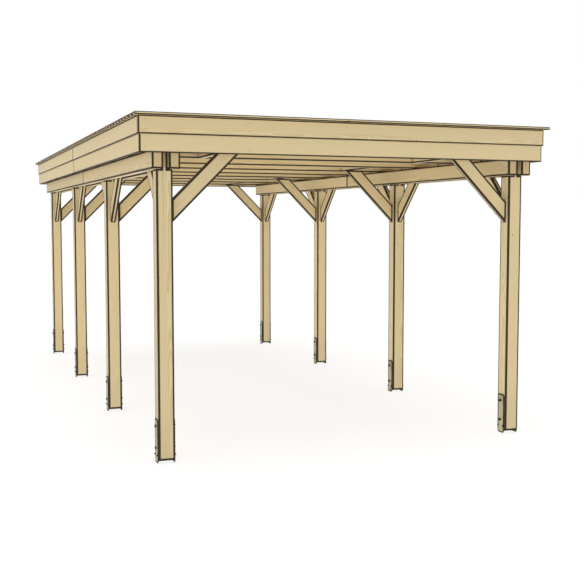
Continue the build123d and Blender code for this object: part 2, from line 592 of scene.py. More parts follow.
@dataclass(frozen=True)
class SteelFinish:
    """Hot-dip zinc with spangles and dull patches, with painted shade as dark outlines along its edges."""

    name: str
    bright: RGBA = shade(200, 186, 154)
    dull: RGBA = shade(158, 144, 116)
    # edge and edge_strength: the painted shade along the edges
    edge: RGBA = shade(26, 20, 13)
    edge_strength: float = 0.96
    spangle: float = 0.010
    patch_waves: Triple = (14.0, 14.0, 9.0)
    patch: Point2 = (0.38, 0.66)
    dulled: Point2 = (0.7, 0.3)           # by the patches and by the spangles, as the next
    roughened: Point2 = (0.14, 0.16)
    raised: Point2 = (0.6, 0.4)           # by fine grain and by the spangles
    grain_waves: Triple = (420.0, 420.0, 420.0)
    metallic: float = 0.55
    roughness: float = 0.5
    bump: float = 0.25
    relief: float = 0.0004                # 0 for a smooth surface

    def material(self) -> Material:
        """Build the finish.

        Returns:
            A material that reads Object coordinates and the attribute edge.
        """
        material = bpy.data.materials.new(self.name)
        sheet = new_sheet(material)
        at = sheet.where()
        sparkle = sheet.split(sheet.cells(at, (1 / self.spangle,) * 3).out("Color"))[0]
        patch = sheet.ease(sheet.noise(at, self.patch_waves, 4.0), *self.patch)
        dull = patch * self.dulled[0] + sparkle * self.dulled[1]
        colour = sheet.mix(dull, self.bright, self.dull)
        # Painted shade: dark outlines along the edges
        edge = sheet.ease(sheet.attribute("edge"), *OUTLINE_SHADE) * self.edge_strength
        inputs = {"Base Color": sheet.mix(edge, colour, self.edge), "Metallic": self.metallic}
        inputs["Roughness"] = self.roughness
        if self.relief:
            by_patch, by_spangle = self.roughened
            rough = self.roughness + (sparkle - 0.5) * by_spangle + patch * by_patch
            grain = sheet.noise(at, self.grain_waves, 2.0) * self.raised[0]
            relief = sheet.bump(self.bump, self.relief, grain + sparkle * self.raised[1])
            inputs |= {"Roughness": rough, "Normal": relief}
        sheet.surface("BsdfPrincipled", inputs)
        return material


def rectangle(length: float, height: float) -> list[Point2]:
    """The corners of a rectangle about the origin."""
    a, b = length / 2, height / 2
    return [(-a, -b), (a, -b), (a, b), (-a, b)]


def prism(outline: Sequence[Point2], depth: float, section: bool = False) -> BMesh:
    """Make a closed prism about the origin.

    Args:
        outline: its corners as (x, z), drawn out along y; or as (y, z), drawn out along x.
        depth: how far it is drawn out.
        section: True for the second way.

    Returns:
        The prism, with its faces outwards.
    """
    bm = bmesh.new()
    rings = []
    for end in (-depth / 2, depth / 2):
        spots = [(end, a, b) if section else (a, end, b) for a, b in outline]
        rings.append([bm.verts.new(spot) for spot in spots])
    near, far = rings
    bm.faces.new(near)
    bm.faces.new(reversed(far))
    for i in range(len(outline)):
        j = (i + 1) % len(outline)
        bm.faces.new((near[j], near[i], far[i], far[j]))
    bmesh.ops.recalc_face_normals(bm, faces=bm.faces)
    return bm


def join_rings(bm: BMesh, rings: Sequence[Sequence[BMVert]]) -> None:
    """Make the wall between each ring of corners and the next.

    Args:
        bm: the mesh that they are in.
        rings: rings of as many corners each.
    """
    for near, far in zip(rings, rings[1:]):
        for k in range(len(near)):
            n = (k + 1) % len(near)
            bm.faces.new((near[k], near[n], far[n], far[k]))


def darken(bm: BMesh, faces: Iterable[BMFace], dark: Callable[[BMLoop], float]) -> None:
    """Write the attribute edge on the corners of some faces.

    Args:
        bm: the mesh.
        faces: the faces.
        dark: gives a corner's value, from 0 for no painted shade to 1 for full.
    """
    layers = bm.loops.layers.float
    layer = layers.get("edge") or layers.new("edge")
    for face in faces:
        for loop in face.loops:
            loop[layer] = dark(loop)


def as_object(bm: BMesh, name: str) -> Object:
    """Make an object of a mesh.

    Args:
        bm: the mesh. It is freed.
        name: the object's name.

    Returns:
        An object that is in no scene.
    """
    mesh = bpy.data.meshes.new(name)
    bm.to_mesh(mesh)
    bm.free()
    return bpy.data.objects.new(name, mesh)


def as_member(bm: BMesh, name: str) -> Object:
    """Give a member its attributes and make it an object.

    Args:
        bm: the member about its own origin, a timber's grain along x. It is freed.
        name: the object's name.

    Returns:
        An object that is in no scene, with place on its points, and cut, reach and flank on
        its faces.
    """
    place = bm.verts.layers.float_vector.new("place")
    cut, reach, flank = [bm.faces.layers.float.new(key) for key in ("cut", "reach", "flank")]
    half_length = max(abs(vert.co.x) for vert in bm.verts)
    for vert in bm.verts:
        vert[place] = vert.co
    for face in bm.faces:
        face.normal_update()
        face[cut] = float(looks_along(face, END_CUT))
        face[reach] = half_length
        face[flank] = abs(face.normal.y)
    return as_object(bm, name)


def looks_along(face: BMFace, least: float = 0.9) -> bool:
    """Whether a face looks along x, as the end of a board and the broad face of a flat do."""
    return abs(face.normal.x) > least


def narrowest(face: BMFace) -> float:
    """A rough width of a face: its area over its longest edge."""
    return face.calc_area() / max(edge.calc_length() for edge in face.edges)


def chamfered(bm: BMesh, edges: Sequence[BMEdge], width: float, segments: int) -> set[BMFace]:
    """Chamfer some edges.

    Args:
        bm: the mesh.
        edges: the edges.
        width: how far in the chamfer starts.
        segments: how many faces go round it.

    Returns:
        The new faces.
    """
    settings = {"offset": width, "offset_type": "OFFSET", "segments": segments, "profile": 0.5}
    return set(bmesh.ops.bevel(bm, geom=edges, affect="EDGES", clamp_overlap=True, **settings)["faces"])


def ring_in(bm: BMesh, faces: Sequence[BMFace], width: float) -> list[BMFace]:
    """Set a rim of one width off along the inside of each face.

    Args:
        bm: the mesh.
        faces: the faces, which shrink.
        width: the rim's width.

    Returns:
        The rims' faces.
    """
    settings = {"thickness": width, "depth": 0.0, "use_even_offset": True}
    return bmesh.ops.inset_individual(bm, faces=faces, **settings)["faces"]


@dataclass(frozen=True)
class Arris:
    """How the edges of a member are eased: a rounded chamfer, and painted shade beside it as a dark outline
    band.
    """

    chamfer: float = 0.004
    halo: float = 0.012                   # how far the painted shade reaches in from the chamfer
    halo_start: float = 0.95
    narrow: float = 0.4                   # the painted shade of a face too narrow for a halo
    segments: int = 2
    room: float = 2.2                     # the widths of halo that a face needs, to have one

    def cut(self, outline: Sequence[Point2], thickness: float, name: str) -> Object:
        """Cut a member, with its edges eased.

        Args:
            outline: its corners as x and z.
            thickness: its size along y.
            name: its name.

        Returns:
            The member.
        """
        timber = prism(outline, thickness)
        self.ease(timber)
        return as_member(timber, name)

    def ease(self, bm: BMesh) -> None:
        """Round the outer edges, and write the attribute edge on the face corners.

        Args:
            bm: a closed solid, changed in place.
        """
        sharp = [edge for edge in bm.edges if edge.is_convex]
        rounds = chamfered(bm, sharp, self.chamfer, self.segments)
        flats = [face for face in bm.faces if face not in rounds]
        broad = [face for face in flats if narrowest(face) > self.halo * self.room]
        narrow = [face for face in flats if face not in broad]
        rims = ring_in(bm, broad, self.halo)
        inner = {vert for face in broad for vert in face.verts}
        # Painted shade: chamfers fully dark, narrow faces partly, and a band fading inward round each broad
        # face
        darken(bm, rounds, lambda loop: 1.0)
        darken(bm, narrow, lambda loop: self.narrow)
        darken(bm, rims, lambda loop: 0.0 if loop.vert in inner else self.halo_start)


@dataclass(frozen=True)
class Place:
    """Where one member goes: its centre, how it is turned, and which of the cut members it is."""

    at: Sequence[float]
    turn: Turn = Turn.ACROSS
    kind: int = 0


@dataclass(frozen=True)
class Piece:
    """A finished piece: its name, finish, seed, slot of the record and the CAD nodes it stands for."""

    name: str
    finish: Material
    seed: int
    slot: Slot
    nodes: Sequence[str] = ()


class Recipe:
    """A Geometry Nodes tree with named inputs, which is run to make a plain mesh."""

    def __init__(self, name: str) -> None:
        """Start the tree with the inputs Geometry and Finish.

        Args:
            name: the tree's name.
        """
        self.tree = bpy.data.node_groups.new(name, "GeometryNodeTree")
        self.sheet = Sheet(self.tree)
        self.entry = self.tree.nodes.new("NodeGroupInput")
        self.tree.interface.new_socket("Geometry", in_out="OUTPUT", socket_type="NodeSocketGeometry")
        self.geometry = self.ask("Geometry", "Geometry")
        self.finish = self.ask("Finish", "Material")

    def ask(self, name: str, kind: str) -> Wire:
        """Add a named input of a kind, such as Int or Vector."""
        self.tree.interface.new_socket(name, in_out="INPUT", socket_type="NodeSocket" + kind)
        return Wire(self.sheet, find_socket(self.entry.outputs, name))

    def named(self, name: str, kind: str) -> Wire:
        """A value that the points carry."""
        settings = {"data_type": kind}
        return self.sheet.node("GeometryNodeInputNamedAttribute", settings, {"Name": name}, "Attribute")

    def random(self, low: Any, high: Any, seed: Wire, kind: str = "FLOAT") -> Wire:
        """A random value for each point, from low to high."""
        inputs = {"Min": low, "Max": high, "Seed": seed}
        return self.sheet.node("FunctionNodeRandomValue", {"data_type": kind}, inputs, "Value")

    def pick(self, points: Wire, members: Wire, kind: Wire, seed: Wire, turned: dict[str, Wire]) -> None:
        """Set members at points, each with its random number, lot, and end the tree.

        Args:
            points: the points.
            members: the collection of cut members.
            kind: which of them goes to each point.
            seed: the seed of the numbers.
            turned: the input Rotation, where they are turned.
        """
        apart = {"Collection": members, "Separate Children": True}
        cut = self.sheet.node("GeometryNodeCollectionInfo", {}, apart)
        inputs = {"Points": points, "Instance": cut, "Pick Instance": True, "Instance Index": kind}
        instances = self.sheet.node("GeometryNodeInstanceOnPoints", {}, inputs | turned)
        settings = {"data_type": "FLOAT", "domain": "INSTANCE"}
        number = {"Geometry": instances, "Name": "lot", "Value": self.random(0.0, 1.0, seed)}
        self.close(self.sheet.node("GeometryNodeStoreNamedAttribute", settings, number))

    def close(self, instances: Wire) -> None:
        """Make the instances real, give them the finish and end the tree.

        Args:
            instances: the instances.
        """
        real = self.sheet.node("GeometryNodeRealizeInstances", {}, {"Geometry": instances})
        inputs = {"Geometry": real, "Material": self.finish}
        done = self.sheet.node("GeometryNodeSetMaterial", {}, inputs)
        self.sheet.node("NodeGroupOutput", {}, {"Geometry": done})

    def run(self, name: str, points: Mesh, **values: Any) -> Object:
        """Run the tree.

        Args:
            name: the piece's name.
            points: the mesh that goes in.
            values: the inputs by name, with _ for a space.

        Returns:
            A piece in the scene, with a plain mesh and no modifier.
        """
        piece = bpy.data.objects.new(name, points)
        bpy.context.scene.collection.objects.link(piece)
        modifier = piece.modifiers.new("set_out", "NODES")
        modifier.node_group = self.tree
        for item in self.tree.interface.items_tree:
            key = item.name.lower().replace(" ", "_")
            if item.in_out == "INPUT" and key in values:
                modifier[item.identifier] = values[key]
        graph = bpy.context.evaluated_depsgraph_get()
        made = bpy.data.meshes.new_from_object(
            piece.evaluated_get(graph), preserve_all_data_layers=True, depsgraph=graph
        )
        piece.modifiers.remove(modifier)
        made.name = name
        piece.data = made
        for spare in ("turn", "kind", "facing"):
            if spare in made.attributes:
                made.attributes.remove(made.attributes[spare])
        return piece


def places_recipe() -> Recipe:
    """Make a tree that sets members at points that carry kind and turn.

    Returns:
        The tree.
    """
    recipe = Recipe("members_at_places")
    members, seed = recipe.ask("Members", "Collection"), recipe.ask("Lot seed", "Int")
    angles = {"Euler": recipe.named("turn", "FLOAT_VECTOR")}
    rotation = recipe.sheet.node("FunctionNodeEulerToRotation", {}, angles)
    kind = recipe.named("kind", "INT")
    recipe.pick(recipe.geometry, members, kind, seed, {"Rotation": rotation})
    return recipe


def row_recipe() -> Recipe:
    """Make a tree that sets a count of members in a row: a first one, field ones and a last one.

    Returns:
        The tree.
    """
    recipe = Recipe("members_in_a_row")
    sheet = recipe.sheet
    members, seed = recipe.ask("Members", "Collection"), recipe.ask("Lot seed", "Int")
    count = recipe.ask("Count", "Int")
    start, pitch, play = [recipe.ask(name, "Vector") for name in ("Start", "Pitch", "Play")]
    spacing = {"Count": count, "Start Location": start, "Offset": pitch}
    line = sheet.node("GeometryNodeMeshLine", {"mode": "OFFSET"}, spacing)
    loose = {"Geometry": line, "Offset": recipe.random((0.0, 0.0, 0.0), play, seed, "FLOAT_VECTOR")}
    moved = sheet.node("GeometryNodeSetPosition", {}, loose)
    index = sheet.node("GeometryNodeInputIndex", {}, {})
    recipe.pick(moved, members, (index > 0.5) + (index > count - 1.5), seed, {})
    return recipe


def fastener_recipe() -> Recipe:
    """Make a tree that sets a fastener at points that carry facing, each spun by chance.

    Returns:
        The tree.
    """
    recipe = Recipe("fasteners_at_points")
    sheet = recipe.sheet
    fastener, seed = recipe.ask("Fastener", "Object"), recipe.ask("Turn seed", "Int")
    shape = sheet.node("GeometryNodeObjectInfo", {}, {"Object": fastener}, "Geometry")
    way = {"Vector": recipe.named("facing", "FLOAT_VECTOR")}
    aimed = sheet.node("FunctionNodeAlignRotationToVector", {"axis": "Z"}, way)
    by_chance = {"Axis": tuple(UP), "Angle": recipe.random(0.0, math.tau, seed)}
    spin = sheet.node("FunctionNodeAxisAngleToRotation", {}, by_chance)
    both = {"Rotation": aimed, "Rotate By": spin}
    turned = sheet.node("FunctionNodeRotateRotation", {"rotation_space": "LOCAL"}, both)
    inputs = {"Points": recipe.geometry, "Instance": shape, "Rotation": turned}
    recipe.close(sheet.node("GeometryNodeInstanceOnPoints", {}, inputs))
    return recipe


class Yard:
    """The recipes and finishes, and the ways in which pieces are set out and handed to the frame."""

    def __init__(self) -> None:
        """Build each recipe and finish once."""
        self.places, self.row, self.fasteners = places_recipe(), row_recipe(), fastener_recipe()
        self.post_wood = WoodFinish("post_wood", ground_stain=0.15).material()
        self.frame_wood = WoodFinish("frame_wood").material()
        self.beam_wood = WoodFinish("beam_wood", end_stain=0.024).material()
        fascia = WoodFinish("fascia_wood", roughness=0.6, checks=0.5, lot_spread=0.05, end_stain=0.010)
        self.fascia_wood = fascia.material()
        self.butted_wood = replace(fascia, name="butted_fascia_wood", end_stain=0.026).material()
        self.roof_wood = WoodFinish(
            "roof_wood", ring=0.0046, knot_length=0.5, lot_spread=0.12, checks=0.4,
            cut_end=shade(176, 153, 110), end_stain=0.004, rim=RimStain(),
        ).material()
        self.zinc = SteelFinish("anchor_zinc").material()
        black = {"bright": shade(48, 41, 32), "dull": shade(32, 27, 20)}
        self.bolt_steel = SteelFinish("bolt_steel", relief=0, roughness=0.45, **black).material()
        yellow = {"bright": shade(190, 172, 128), "dull": shade(160, 142, 102)}
        self.screw_steel = SteelFinish("screw_steel", relief=0, roughness=0.42, **yellow).material()

    def lay(self, piece: Piece, members: Sequence[Object], places: Sequence[Place] = (), **row: Any) -> None:
        """Set members at their places, or in a row.

        Args:
            piece: what they make.
            members: the cut members, one for each kind. They are used up.
            places: where they go.
            row: the inputs of the row, where there are no places: count, start, pitch and play.
        """
        points = bpy.data.meshes.new(piece.name)
        if places:
            points.from_pydata([tuple(place.at) for place in places], [], [])
            turns = points.attributes.new("turn", "FLOAT_VECTOR", "POINT")
            turns.data.foreach_set("vector", [angle for place in places for angle in place.turn.value])
            kinds = points.attributes.new("kind", "INT", "POINT")
            kinds.data.foreach_set("value", [place.kind for place in places])
        pile = bpy.data.collections.new("stock")
        for number, member in enumerate(members):
            member.name = f"stock_{number}_{member.name}"
            pile.objects.link(member)
        values = row | {"members": pile, "lot_seed": piece.seed, "finish": piece.finish}
        recipe = self.places if places else self.row
        self._hand_over(piece, recipe.run(piece.name, points, **values))
        for member in members:
            bpy.data.meshes.remove(member.data)
        bpy.data.collections.remove(pile)

    def fasten(self, piece: Piece, shape: Object, spots: Sequence[Spot]) -> None:
        """Set one kind of fastener at many spots.

        Args:
            piece: what they make.
            shape: the fastener, pointing up its own z. It is used up.
            spots: where they go.
        """
        points = bpy.data.meshes.new(piece.name)
        points.from_pydata([tuple(at) for at, _ in spots], [], [])
        facing = points.attributes.new("facing", "FLOAT_VECTOR", "POINT")
        facing.data.foreach_set("vector", [part for _, way in spots for part in way])
        values = {"fastener": shape, "turn_seed": piece.seed, "finish": piece.finish}
        self._hand_over(piece, self.fasteners.run(piece.name, points, **values))
        bpy.data.meshes.remove(shape.data)

    @staticmethod
    def _hand_over(piece: Piece, made: Object) -> None:
        """Tie a finished piece to the frame.

        Args:
            piece: what it is.
            made: its object.
        """
        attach(made, BODY)
        if piece.nodes:
            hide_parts(*piece.nodes)
        log.info("%s: %d faces", made.name, len(made.data.polygons))


@dataclass
class Assembly:
    """A sub-assembly of the carport, built with the yard's recipes and finishes."""

    yard: Yard


@dataclass
class Posts(Assembly):
    """The four posts of one side, notched on both sides for the twin beams."""

    side: Side
    arris: Arris = Arris(chamfer=0.005, halo=0.0125)
    seed: int = 11

    def build(self) -> None:
        """Cut and place the posts."""
        nodes = self.side.row_nodes("post")
        boxes = [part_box(node) for node in nodes]
        outer, inner = [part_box(f"beam_{self.side.word}_{line}_front") for line in TWINS]
        tongue = abs(self.side.inner(outer) - self.side.outer(inner)) / 2
        size = extent(boxes[0])
        half, top = size.x / 2, size.z / 2
        foot, shoulder = -top, outer[0].z - boxes[0][0].z - top
        outline = [
            (foot, -half), (shoulder, -half), (shoulder, -tongue), (top, -tongue),
            (top, tongue), (shoulder, tongue), (shoulder, half), (foot, half),
        ]
        post = self.arris.cut(outline, size.y, "post")
        places = [Place(middle(box), Turn.UPRIGHT) for box in boxes]
        name, seed = f"posts_{self.side.word}", self.seed + self.side.value
        self.yard.lay(Piece(name, self.yard.post_wood, seed, Slot.TIMBER, nodes), [post], places)


@dataclass
class Beams(Assembly):
    """The twin beams of one side, each in two lengths that butt halfway."""

    side: Side
    arris: Arris = Arris()
    seed: int = 23

    def build(self) -> None:
        """Cut and place the beams."""
        word = self.side.word
        nodes = [f"beam_{word}_{line}_{end}" for line in TWINS for end in ENDS]
        boxes = [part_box(node) for node in nodes]
        size = extent(boxes[0])
        beam = self.arris.cut(rectangle(size.y, size.z), size.x, "beam")
        places = [Place(middle(box), Turn.ALONG) for box in boxes]
        piece = Piece(f"beams_{word}", self.yard.beam_wood, self.seed + self.side.value, Slot.TIMBER, nodes)
        self.yard.lay(piece, [beam], places)


@dataclass
class Braces(Assembly):
    """The cross braces and side braces of one side, all at 45 degrees."""

    side: Side
    width: float = 0.120
    # halo: a wide painted shade, which all but covers a brace's narrow lower face
    arris: Arris = Arris(halo=0.016)
    seed: int = 35

    def build(self) -> None:
        """Cut and place the braces."""
        word, sign = self.side.word, self.side.value
        nodes = [f"cross_braces_{word}", f"side_braces_{word}"]
        cross, along = [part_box(node) for node in nodes]
        reach = extent(cross).z
        brace = self.arris.cut(self._outline(reach), extent(along).x, "brace")
        out = (reach - self.width * ROOT_2 / 2) / 2
        level = cross[1].z - out
        rising = Turn.RISING_RIGHT if self.side is Side.LEFT else Turn.RISING_LEFT
        places = []
        for row, node in enumerate(self.side.row_nodes("post")):
            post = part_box(node)
            x, y, _ = middle(post)
            places.append(Place((self.side.inner(post) - sign * out, y, level), rising))
            if row < ROWS - 1:
                places.append(Place((x, post[1].y + out, level), Turn.RISING_BACK))
            if row > 0:
                places.append(Place((x, post[0].y - out, level), Turn.RISING_FRONT))
        piece = Piece(f"braces_{word}", self.yard.frame_wood, self.seed + sign, Slot.TIMBER, nodes)
        self.yard.lay(piece, [brace], places)

    def _outline(self, reach: float) -> list[Point2]:
        """A brace's outline about its own middle, with its length along x.

        Args:
            reach: how far it reaches along both timbers from the inner corner.

        Returns:
            Four corners.
        """
        run = self.width * ROOT_2
        corners = [(0.0, -reach), (reach, 0.0), (reach - run, 0.0), (0.0, run - reach)]
        centre = (reach - run / 2) / 2
        moved = [(u - centre, v + centre) for u, v in corners]
        return [((u + v) / ROOT_2, (v - u) / ROOT_2) for u, v in moved]


@dataclass
class Rafters(Assembly):
    """The rafters across the beams, in an even row."""

    groups: tuple[str, ...] = ("rafters_front", "rafters_middle", "rafters_back")
    arris: Arris = Arris()
    seed: int = 41

    def build(self) -> None:
        """Cut and place the rafters."""
        low, high = box_of(*self.groups)
        thickness = self._thickness()
        pitch = (high.y - low.y - thickness) / (RAFTERS - 1)
        rafter = self.arris.cut(rectangle(high.x - low.x, high.z - low.z), thickness, "rafter")
        start = (0.0, low.y + thickness / 2, (low.z + high.z) / 2)
        piece = Piece("rafters", self.yard.frame_wood, self.seed, Slot.TIMBER, self.groups)
        self.yard.lay(piece, [rafter], count=RAFTERS, start=start, pitch=(0.0, pitch, 0.0))

    def _thickness(self) -> float:
        """Work out a rafter's thickness from the whole row and one group of it.

        Returns:
            The thickness.
        """
        whole, group = extent(box_of(*self.groups)).y, extent(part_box(self.groups[0])).y
        spans, group_spans = RAFTERS - 1, RAFTERS // len(self.groups) - 1
        return (group * spans - whole * group_spans) / (spans - group_spans)


@dataclass
class Blockings(Assembly):
    """The short timbers between rafters, over the cross braces."""

    bays: tuple[int, ...] = (0, 2, 5, 7)
    rafter_thickness: float = 0.060
    arris: Arris = Arris()
    seed: int = 53

    def build(self) -> None:
        """Cut and place the blockings."""
        nodes = [f"blockings_{side.word}" for side in Side]
        rafters = box_of("rafters_front", "rafters_back")
        pitch = (extent(rafters).y - self.rafter_thickness) / (RAFTERS - 1)
        first = rafters[0].y + self.rafter_thickness / 2
        places = []
        for node in nodes:
            x, _, z = middle(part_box(node))
            places += [Place((x, first + (bay + 0.5) * pitch, z), Turn.ALONG) for bay in self.bays]
        size = extent(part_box(nodes[0]))
        block = self.arris.cut(rectangle(pitch - self.rafter_thickness, size.z), size.x, "blocking")
        piece = Piece("blockings", self.yard.frame_wood, self.seed, Slot.TIMBER, nodes)
        self.yard.lay(piece, [block], places)


@dataclass
class Purlins(Assembly):
    """The purlins on the rafters, under the roof boards."""

    thickness: float = 0.045
    arris: Arris = Arris(chamfer=0.002, halo=0.006)
    seed: int = 61

    def lines(self) -> list[float]:
        """The x of each purlin.

        Returns:
            The two edge lines, the line under the deck joint, and one halfway to each edge.
        """
        low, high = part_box("purlins")
        left, right = low.x + self.thickness / 2, high.x - self.thickness / 2
        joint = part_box("roof_deck_left")[1].x
        return [left, (joint + left) / 2, joint, (joint + right) / 2, right]

    def build(self) -> None:
        """Cut and place the purlins."""
        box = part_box("purlins")
        size, (_, y, z) = extent(box), middle(box)
        purlin = self.arris.cut(rectangle(size.y, size.z), self.thickness, "purlin")
        places = [Place((x, y, z), Turn.ALONG) for x in self.lines()]
        piece = Piece("roof_purlins", self.yard.frame_wood, self.seed, Slot.TIMBER, ["purlins"])
        self.yard.lay(piece, [purlin], places)


@dataclass
class Fascia(Assembly):
    """The two courses of fascia: whole boards at the ends, two lengths along each side."""

    joint_gap: float = 0.002
    # narrow: painted shadow over the narrow faces, as under the lower course
    arris: Arris = Arris(chamfer=0.003, halo=0.0084, narrow=0.8)
    slack: float = 0.0001                 # for comparing heights
    side_seed: int = 79
    end_seed: int = 71

    def build(self) -> None:
        """Cut and place the boards of the sides, then those of the ends."""
        for side in Side:
            self._side(side)
        members, places, nodes = [], [], []
        for kind, course in enumerate(COURSES):
            for end in ENDS:
                nodes.append(f"fascia_{end}_{course}")
                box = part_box(nodes[-1])
                places.append(Place(middle(box), Turn.ACROSS, kind))
            size = extent(box)
            members.append(self._board(size.x, size.y, size.z, course))
        piece = Piece("fascia_ends", self.yard.fascia_wood, self.end_seed, Slot.FASCIA, nodes)
        self.yard.lay(piece, members, places)

    def _side(self, side: Side) -> None:
        """Cut and place the boards of one side.

        Args:
            side: the side.
        """
        name = f"fascia_{side.word}"
        nodes = [f"{name}_{course}" for course in COURSES]
        members, places = [], []
        for kind, node in enumerate(nodes):
            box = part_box(node)
            size, centre = extent(box), middle(box)
            length = (size.y - self.joint_gap) / 2
            for way in (-1, 1):
                y = centre.y + way * (length + self.joint_gap) / 2
                places.append(Place((centre.x, y, centre.z), Turn.ALONG, kind))
            members.append(self._board(length, size.x, size.z, COURSES[kind]))
        piece = Piece(name, self.yard.butted_wood, self.side_seed + side.value, Slot.FASCIA, nodes)
        self.yard.lay(piece, members, places)

    def _board(self, length: float, thickness: float, height: float, course: str) -> Object:
        """Cut one board. The lower course gets no painted shade along its top, which the upper one covers.

        Args:
            length, thickness, height: its size.
            course: its course.

        Returns:
            The member.
        """
        board = prism(rectangle(length, height), thickness)
        self.arris.ease(board)
        if course == COURSES[0]:
            covered = height / 2 - self.arris.chamfer - self.arris.halo - self.slack
            tops = [face for face in board.faces if all(vert.co.z > covered for vert in face.verts)]
            darken(board, tops, lambda loop: 0.0)
        return as_member(board, course)


@dataclass
class RoofBoards(Assembly):
    """Tongued and grooved boards across the roof, in two lengths that butt over a purlin."""

    face_gap: float = 0.0012
    butt_gap: float = 0.0015
    vee: float = 0.0035
    top_ease: float = 0.0008
    tongue: float = 0.0055
    groove: float = 0.0065
    lips: tuple[float, ...] = (0.34, 0.36, 0.62, 0.64)  # the joint's corners, as shares of the depth
    # halo, plain_halo and end_rim are widths of painted shade; eaves_halo is painted shadow under the eaves
    halo: float = 0.0034
    plain_halo: float = 0.0042
    eaves_halo: float = 0.030
    end_rim: float = 0.0012
    skin: float = 0.0005                  # how far the boards' tops are under the deck's
    end_play: float = 0.0025
    digits: int = 6                       # to which two corners are told to be one
    seed: int = 97

    def build(self) -> None:
        """Cut the first, field and last boards, and lay both lengths of the roof."""
        for side in Side:
            sign, name = side.value, f"roof_deck_{side.word}"
            low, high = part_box(name)
            pitch = (high.y - low.y) / BOARDS
            depth = high.z - low.z - self.skin
            length = high.x - low.x - self.butt_gap / 2 - self.end_play
            centre = (low.x + high.x) / 2 - sign * self.end_play / 2 + sign * self.butt_gap / 4
            boards = [
                self._board(length, pitch, depth, "first", grooved=False),
                self._board(length, pitch, depth, "field"),
                self._board(length, pitch, depth, "last", tongued=False),
            ]
            start = (centre, low.y + pitch / 2, low.z + depth / 2)
            piece = Piece(
                f"roof_boards_{side.word}", self.yard.roof_wood, self.seed + sign, Slot.ROOF, [name]
            )
            step, play = (0.0, pitch, 0.0), (sign * self.end_play, 0.0, 0.0)
            self.yard.lay(piece, boards, count=BOARDS, start=start, pitch=step, play=play)

    def _board(
        self, length: float, pitch: float, depth: float, name: str, grooved: bool = True, tongued: bool = True
    ) -> Object:
        """Cut one board.

        Args:
            length, depth: its length and thickness.
            pitch: the width that it covers.
            name: its name.
            grooved, tongued: False for the first and the last board, whose joint is planed off.

        Returns:
            The member.
        """
        half, base, top = pitch / 2, -depth / 2, depth / 2
        left, right = [half - (self.face_gap / 2 if joined else 0.0) for joined in (grooved, tongued)]
        lips = [base + depth * share for share in self.lips]
        deep = left - self.groove
        groove = [(left, lips[0]), (deep, lips[0]), (deep, lips[3]), (left, lips[3])]
        tip = half + self.tongue
        tongue = [(right, lips[0]), (tip, lips[1]), (tip, lips[2]), (right, lips[3])]
        lower = [(-y, z, dark) for y, z, dark in self._edge(left, base, top, groove if grooved else [])]
        outline = self._edge(right, base, top, tongue if tongued else []) + lower[::-1]
        board = prism([(y, z) for y, z, _ in outline], length, section=True)

        def spot(y: float, z: float) -> Point2:
            """A corner's place in the section, rounded."""
            return round(y, self.digits), round(z, self.digits)

        dark = {spot(y, z): value for y, z, value in outline}

        # Painted shade: dark rims round the ends, and the darkness given to the section's corners
        ends = list(filter(looks_along, board.faces))
        bmesh.ops.inset_individual(board, faces=ends, thickness=self.end_rim, depth=0.0)
        darken(board, board.faces, lambda loop: dark.get(spot(*loop.vert.co.yz), 0.0))
        darken(board, filter(looks_along, board.faces), lambda loop: float(spot(*loop.vert.co.yz) in dark))
        return as_member(board, name)

    def _edge(self, reach: float, base: float, top: float, joint: Sequence[Point2]) -> list[Triple]:
        """One long edge of a board, from the bottom up, on its right hand.

        Args:
            reach: how far out the edge is.
            base, top: the heights of the bottom and the top.
            joint: the corners of its tongue or groove. None make a plain edge.

        Returns:
            Corners as y and z, with how dark each one is painted with shade.
        """
        ease, halo, under = self.top_ease, self.halo, self.halo
        # On a plain edge, under is the width of painted shadow under the eaves
        if not joint:
            ease, halo, under = self.vee, self.plain_halo, self.eaves_halo
        corners = [(reach - self.vee - under, base, 0.0), (reach - self.vee, base, 1.0)]
        corners.append((reach, base + self.vee, 1.0))
        corners += [(y, z, 1.0) for y, z in joint]
        if not joint:
            corners += [(reach, base + self.vee + halo, 0.0), (reach, top - ease - halo, 0.0)]
        corners += [(reach, top - ease, 1.0), (reach - ease, top, 1.0)]
        return corners + [(reach - ease - halo, top, 0.0)]


